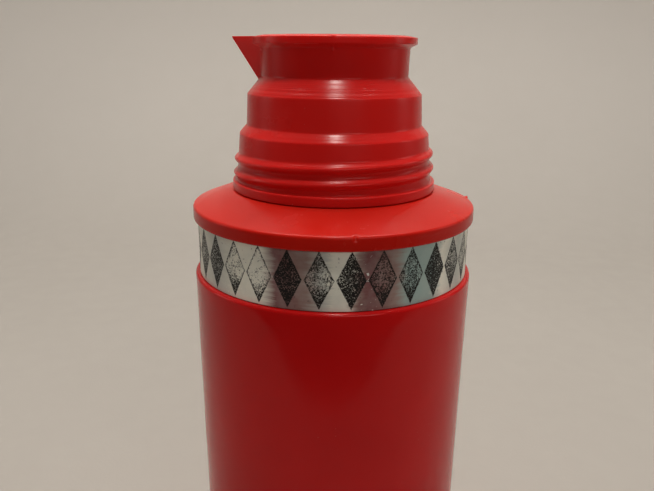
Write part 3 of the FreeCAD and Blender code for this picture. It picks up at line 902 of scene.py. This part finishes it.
# %% Sweep paint
def painted_board():
    f = Finish("painted_board", Roughness=0.75)
    height = f.node("SeparateXYZ", {0: f.where}).outputs["Z"]
    # Painted shade low on the floor, painted light higher up the wall, by height.
    rise = f.math("ADD", f.between(height, 0.0, 0.45), f.math("MULTIPLY", f.noise(3.0, 3.0), 0.12), True)
    f.feed(Base_Color=f.blend(rise, (0.36, 0.335, 0.305), (0.62, 0.585, 0.545)))
    f.feed(Normal=f.relief(f.noise(420.0, 3.0), 0.0003, 0.25))
    f.feed(Roughness=f.between(f.noise(40.0), 0.3, 0.7, 0.68, 0.82))
    return f.material


sweep.data.materials.append(painted_board())
print("sweep painted")

# %% [markdown]
# ## Dark plastic of the band's carrier
# Mostly hidden behind the foil. It was never meant to be seen, so it is matt, with moulding flow
# lines and a little dust in them.

# %% Carrier
def satin_plastic(name, dark, light, rough, dust=0.15, fine=700.0):
    """Unpolished plastic in one colour family, with dust in its hollows."""
    f = Finish(name, IOR=1.46)
    tone = f.between(f.noise(24.0, 4.0), 0.3, 0.7)
    colour = f.blend(tone, dark, light)
    dusty = f.math("MULTIPLY", f.between(f.noise(130.0, 5.0, 0.65), 0.52, 0.75), dust)
    colour = f.blend(dusty, colour, (0.55, 0.50, 0.44))
    f.feed(Base_Color=colour)
    f.feed(Roughness=f.between(f.noise(90.0, 3.0), 0.3, 0.7, rough * 0.85, rough * 1.2))
    flow = f.noise(1.0, 2.0, 0.5, f.stretched(12.0, 12.0, 300.0))
    grain = f.relief(f.noise(fine, 3.0), 0.00004, 0.5)
    f.feed(Normal=f.relief(flow, 0.00002, 0.5, grain))
    return f.material


def dress(node, material):
    """A new finish for a frame part whose shape is already right."""
    slots = nodes[node].data.materials
    if len(slots) == 0:
        slots.append(material)
    for i in range(len(slots)):
        slots[i] = material
    print("finish on", node)


dress("band_carrier", satin_plastic("carrier_plastic", (0.018, 0.017, 0.018), (0.03, 0.028, 0.028), 0.55))

# %% [markdown]
# ## The glass bottle
# Two thin walls of blown glass, fused at the lip, with a silver coat in the gap between them and
# the pumped-off space behind it. From outside it looks like a slightly wavy mirror with fine pin
# holes in the silver and a brown tinge near the seal-off tip.

# %% Silvered glass
def silvered_glass():
    f = Finish("silvered_glass_wall", Metallic=0.94, Coat_Weight=0.6, Coat_Roughness=0.04, IOR=1.47)
    height = f.node("SeparateXYZ", {0: f.where}).outputs["Z"]
    tinge = f.math("MULTIPLY", f.between(height, 0.045, 0.012), f.between(f.noise(60.0, 3.0), 0.3, 0.7))
    silver = f.blend(f.between(f.noise(18.0, 2.0), 0.3, 0.7), (0.78, 0.77, 0.74), (0.88, 0.87, 0.84))
    silver = f.blend(tinge, silver, (0.42, 0.27, 0.14))
    holes = f.between(f.noise(900.0, 1.0), 0.72, 0.76)
    f.feed(Base_Color=f.blend(holes, silver, (0.12, 0.11, 0.10)))
    f.feed(Roughness=f.between(f.noise(45.0, 2.0), 0.3, 0.7, 0.05, 0.12))
    f.feed(Normal=f.relief(f.noise(16.0, 1.0), 0.0009, 0.35))
    return f.material


glass = silvered_glass()
for node in ("glass_outer", "glass_inner", "seal_off_tip"):
    dress(node, glass)

# %% [markdown]
# ## The stopper
# The stopper sits inside the pourer, so it is seen only from above or when it is lifted out. It
# has a cream moulded body with a thin raised lip, a pressed cap with a bar to grip, two rubber
# rings, a washer under its head and a core of foam. The body is lathed again with grooves for the
# rings and shallow flutes round its inner lip; the grip bar is a block that is rounded and pinched
# for a thumb and finger.

# %% Cream plastic
cream = satin_plastic("cream_plastic", (0.62, 0.53, 0.38), (0.70, 0.62, 0.47), 0.32, dust=0.22)
cap_cream = satin_plastic("cap_cream_plastic", (0.60, 0.50, 0.35), (0.68, 0.59, 0.44), 0.38, dust=0.30)
print("cream finishes:", cream.name, cap_cream.name)

# %% Stopper body
HEAD_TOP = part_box("stopper_body")[1].z / MM - SEAM / MM
PLUG_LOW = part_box("stopper_body")[0].z / MM - SEAM / MM
HEAD_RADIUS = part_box("stopper_body")[1].x / MM
PLUG_RADIUS = 20.0
HEAD_LOW = 71.8
STOPPER_WALL = 1.8
CAP_SEAT = HEAD_TOP - 8.0
RING_HEIGHTS = (58.0, 51.0)
RING_DEPTH = 0.75
stopper_corners = [
    (0.02, PLUG_LOW), (PLUG_RADIUS, PLUG_LOW, 4.0), (PLUG_RADIUS, HEAD_LOW), (HEAD_RADIUS, HEAD_LOW, 0.8),
    (HEAD_RADIUS, HEAD_TOP, 0.9), (HEAD_RADIUS - STOPPER_WALL, HEAD_TOP, 0.5),
    (HEAD_RADIUS - STOPPER_WALL, CAP_SEAT), (PLUG_RADIUS - STOPPER_WALL, CAP_SEAT),
    (PLUG_RADIUS - STOPPER_WALL, PLUG_LOW + 2.0, 2.2), (0.02, PLUG_LOW + 2.0)]


def stopper_shape(radius, height, angle):
    """Grooves for the two rings, and shallow grip flutes round the head's inner lip."""
    if PLUG_RADIUS - 0.1 < radius < PLUG_RADIUS + 0.1:
        for ring in RING_HEIGHTS:
            off = abs(height - ring)
            if off < 1.1:
                radius -= RING_DEPTH * math.sqrt(1 - (off / 1.1) ** 2)
    if abs(radius - HEAD_RADIUS + STOPPER_WALL) < 0.1 and CAP_SEAT + 1.0 < height < HEAD_TOP - 0.8:
        radius += 0.12 * math.sin(60 * angle)
    return radius, height


stopper = lathe("stopper_shell", rounded(stopper_corners, 0.8), even_angles(240), stopper_shape)
stands_for(stopper, "stopper_body", cream)


# %% [markdown]
# The cap is a disc pressed into the head. Its bar has rounded ends and a slight waist. A turned
# step round the disc and a small gate mark in the middle of the bar are what the mould leaves.

# %% Stopper cap
def cap_mesh(radius, low, disc_top, bar_top, rings=56, spokes=200):
    """The cap as one skin over polar cells: disc, step and bar, with a flat back."""
    half_long = radius - 1.5
    half_wide = 3.0
    points = []
    for i in range(rings + 1):
        r = radius * i / rings
        for k in range(spokes):
            a = 2 * math.pi * k / spokes
            x, y = r * math.cos(a), r * math.sin(a)
            waist = half_wide - 0.55 * (1 - (x / half_long) ** 2)
            off = max(abs(y) - waist, abs(x) - half_long + 0.6)
            height = disc_top + (bar_top - disc_top) * smooth_step((0.7 - off) / 1.4)
            height += 0.25 * math.cos(math.pi * min(1.0, abs(y) / waist) / 2) * smooth_step(-off / 1.2)
            height -= 0.25 * smooth_step((1.2 - abs(r - radius + 2.4)) / 0.5)
            height -= 0.3 * smooth_step((1.5 - r) / 0.4) * smooth_step((2.2 - r) / 1.0)
            points.append((x, y, height - 0.3 * smooth_step((r - radius + 0.5) / 0.5)))
    for i in range(spokes):
        a = 2 * math.pi * i / spokes
        points.append((radius * math.cos(a), radius * math.sin(a), low))
    points.append((0, 0, low))
    faces = []
    for i in range(rings):
        for k in range(spokes):
            here, there = i * spokes, (i + 1) * spokes
            after = (k + 1) % spokes
            faces.append((here + k, there + k, there + after, here + after))
    back = (rings + 1) * spokes
    for k in range(spokes):
        after = (k + 1) % spokes
        faces.append((rings * spokes + k, back + k, back + after, rings * spokes + after))
        faces.append((back + k, len(points) - 1, back + after))
    points = [(x * MM, y * MM, SEAM + z * MM) for x, y, z in points]
    mesh = mesh_piece("stopper_grip", points, faces, 40.0)
    weld = mesh.modifiers.new("centre", "WELD")
    weld.merge_threshold = 0.00002
    return mesh


cap_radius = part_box("stopper_cap")[1].x / MM
grip = cap_mesh(cap_radius, CAP_SEAT, CAP_SEAT + 2.2, HEAD_TOP - 0.55)
stands_for(grip, "stopper_cap", cap_cream)

# %% [markdown]
# ## Rubber and foam
# The rubber parts are moulded black rubber with a chalky bloom and a thin parting line. The foam
# core is a cast block with open cells. The rubber parts keep the frame's shapes and get a new
# finish; the foam core is lathed again.


# %% Rubber and foam finishes
def rubber(name, tone):
    f = Finish(name, IOR=1.5, Sheen_Weight=0.15, Sheen_Roughness=0.5)
    bloom = f.between(f.noise(70.0, 5.0, 0.65), 0.45, 0.75, 0.0, 0.5)
    f.feed(Base_Color=f.blend(bloom, tone, tuple(0.10 + 0.6 * c for c in tone)))
    f.feed(Roughness=f.between(f.noise(160.0, 3.0), 0.3, 0.7, 0.55, 0.8))
    pores = f.relief(f.noise(1500.0, 2.0), 0.00005, 0.6)
    f.feed(Normal=f.relief(f.noise(1.0, 2.0, 0.5, f.stretched(20.0, 20.0, 1400.0)), 0.00004, 0.5, pores))
    return f.material


def foam(name):
    f = Finish(name, Roughness=0.95)
    cells = f.node("TexVoronoi", {"Vector": f.where, "Scale": 520.0}).outputs["Distance"]
    # Each cell is painted darker towards its middle, where its pit is deepest: painted shade in the pores.
    f.feed(Base_Color=f.blend(f.between(cells, 0.0, 0.5), (0.46, 0.40, 0.28), (0.80, 0.74, 0.58)))
    f.feed(Roughness=f.between(cells, 0.0, 0.6, 0.98, 0.85))
    f.feed(Normal=f.relief(cells, 0.0006, 0.8))
    return f.material


black_rubber = rubber("black_rubber", (0.020, 0.019, 0.018))
grey_rubber = rubber("grey_rubber", (0.060, 0.055, 0.050))
dress("neck_gasket", black_rubber)
dress("stopper_rings", black_rubber)
dress("stopper_washer", black_rubber)

# %% [markdown]
# The foam was cast in place, so its skin is slightly uneven and its top has sunk a little.

# %% Foam core
FOAM_RADIUS = PLUG_RADIUS - STOPPER_WALL - 0.1
FOAM_LOW = PLUG_LOW + 2.1
FOAM_TOP = CAP_SEAT - 0.1


def foam_shape(radius, height, angle):
    """Slow hollows in the side, never outside the round block."""
    if radius > FOAM_RADIUS - 0.05:
        radius -= 0.10 * (1 + math.sin(7 * angle) * math.sin(0.6 * height))
    return radius, height


foam_corners = [(0.02, FOAM_LOW), (FOAM_RADIUS, FOAM_LOW, 2.4), (FOAM_RADIUS, FOAM_TOP, 0.9),
                (0.6 * FOAM_RADIUS, FOAM_TOP - 0.4, 2.0), (0.02, FOAM_TOP - 0.6)]
foam_block = lathe("stopper_foam", rounded(foam_corners, 1.2), even_angles(160), foam_shape)
stands_for(foam_block, "stopper_core", foam("cast_foam"))

# %% [markdown]
# ## The three soft supports
# The bottle is held by soft parts: a ring under the shoulder, a dished cushion in the foot and a
# sleeve of corrugated card. The ring and the cushion are solid rubber, moulded with ribs so that
# they give a little. The sleeve has real flutes.

# %% Ribbed rubber supports
def outer_ribs(count, depth, low, high, inner_limit):
    """A shape function that raises upright ribs on the outside of a ring."""
    def shape(radius, height, angle):
        if radius > inner_limit and low < height < high:
            ends = smooth_step((height - low) / 1.5) * smooth_step((high - height) / 1.5)
            radius -= depth * ends * (0.5 - 0.5 * math.cos(count * angle))
        return radius, height
    return shape


RIBS = 48
FOOT_LEVEL = -SEAM / MM
gasket_corners = [(46.0, 17.9, 0.4), (46.0, 25.0, 1.0), (40.0, 30.2, 1.0), (36.0, 30.2, 0.5), (36.0, 26.7, 0.5)]
gasket = lathe("shoulder_cushion_ring", rounded(gasket_corners, 0.8), even_angles(RIBS * 8),
               outer_ribs(RIBS, 0.8, 19.0, 25.0, 45.5))
stands_for(gasket, "shoulder_gasket", grey_rubber)

DISH_CENTRE = (17.0, FOOT_LEVEL + 52.0)
DISH_RADIUS = 34.3
dish = []
for step in range(15):
    turn_down = math.radians(54.0 * (1 - step / 14))
    dish.append((DISH_CENTRE[0] + DISH_RADIUS * math.sin(turn_down), DISH_CENTRE[1] - DISH_RADIUS * math.cos(turn_down)))
cushion_corners = [(16.0, FOOT_LEVEL + 6.0, 0.5), (45.0, FOOT_LEVEL + 6.0, 1.0), (45.0, FOOT_LEVEL + 32.0, 0.2)]
cushion = lathe("foot_cushion", rounded(cushion_corners + dish + [(16.0, FOOT_LEVEL + 17.0, 0.4)], 1.2),
                even_angles(RIBS * 8), outer_ribs(RIBS, 1.4, FOOT_LEVEL + 8.0, FOOT_LEVEL + 31.0, 44.5))
stands_for(cushion, "base_cushion", grey_rubber)

# %% [markdown]
# The card sleeve is one strip of single-faced corrugated card, bent round the bottle with its
# flutes upright. Its cut edges are a little ragged.


# %% Card sleeve and spacer pads
def card():
    f = Finish("corrugated_card_paper", Roughness=0.9, IOR=1.4)
    fibre = f.noise(1.0, 4.0, 0.7, f.stretched(500.0, 500.0, 1800.0))
    stain = f.between(f.noise(25.0, 3.0), 0.45, 0.75, 0.0, 0.4)
    paper = f.blend(f.between(fibre, 0.3, 0.7), (0.34, 0.22, 0.12), (0.48, 0.34, 0.20))
    f.feed(Base_Color=f.blend(stain, paper, (0.25, 0.15, 0.08)))
    f.feed(Roughness=f.between(fibre, 0.3, 0.7, 0.82, 0.95))
    f.feed(Normal=f.relief(fibre, 0.00008, 0.7))
    return f.material


FLUTES = 140
CARD_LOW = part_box("card_sleeve")[0].z / MM - SEAM / MM
CARD_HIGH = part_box("card_sleeve")[1].z / MM - SEAM / MM


def card_shape(radius, height, angle):
    """Upright flutes between the bottle and the case, with ragged cut edges."""
    radius += 0.30 * math.cos(FLUTES * angle)
    ragged = 0.25 * math.sin(23 * angle) + 0.15 * math.sin(57 * angle + 1.0)
    if height > CARD_HIGH - 1.0:
        height -= 0.4 + ragged
    if height < CARD_LOW + 1.0:
        height += 0.4 + ragged
    return radius, height


sleeve_corners = [(51.55, CARD_LOW), (51.95, CARD_LOW), (51.95, CARD_HIGH), (51.55, CARD_HIGH)]
sleeve = lathe("card_flutes", rounded(sleeve_corners, 6.0), even_angles(FLUTES * 8), card_shape, 60.0)
stands_for(sleeve, "card_sleeve", card())


def felt():
    f = Finish("mineral_felt", Roughness=0.95, Sheen_Weight=0.3, Sheen_Roughness=0.6)
    fibre = f.noise(1600.0, 4.0, 0.75)
    f.feed(Base_Color=f.blend(f.between(fibre, 0.3, 0.7), (0.42, 0.38, 0.33), (0.62, 0.58, 0.52)))
    f.feed(Roughness=f.between(fibre, 0.3, 0.7, 0.88, 0.98))
    f.feed(Normal=f.relief(fibre, 0.0002, 0.8))
    return f.material


def pad_mesh(turns=48, rings=10):
    """Three pressed discs, each a rounded drum that follows the gap between the two glass walls."""
    random.seed(11)
    points = []
    faces = []
    outline = [(0.01, 0.0), (4.4, 0.0), (4.8, 0.4)] + [(4.85, 0.4 + 3.9 * k / rings) for k in range(rings + 1)]
    outline += [(4.4, 4.7), (0.01, 4.7)]
    rows = len(outline)
    for i in range(3):
        aim = math.radians(30 + 120 * i)
        first = len(points)
        for k in range(turns):
            a = 2 * math.pi * k / turns
            for r, depth in outline:
                r *= 1 + random.uniform(-0.012, 0.012)
                side = r * math.cos(a)
                bend = math.asin(max(-1, min(1, side / 47.0)))
                out = 43.65 + depth
                points.append((out * math.cos(aim + bend) * MM, out * math.sin(aim + bend) * MM,
                               SEAM + (62.0 + FOOT_LEVEL + r * math.sin(a)) * MM))
        for k in range(turns):
            here, there = first + k * rows, first + (k + 1) % turns * rows
            for j in range(rows - 1):
                faces.append((here + j, here + j + 1, there + j + 1, there + j))
    return mesh_piece("felt_pads", points, faces, 60.0)


stands_for(pad_mesh(), "spacer_pads", felt())
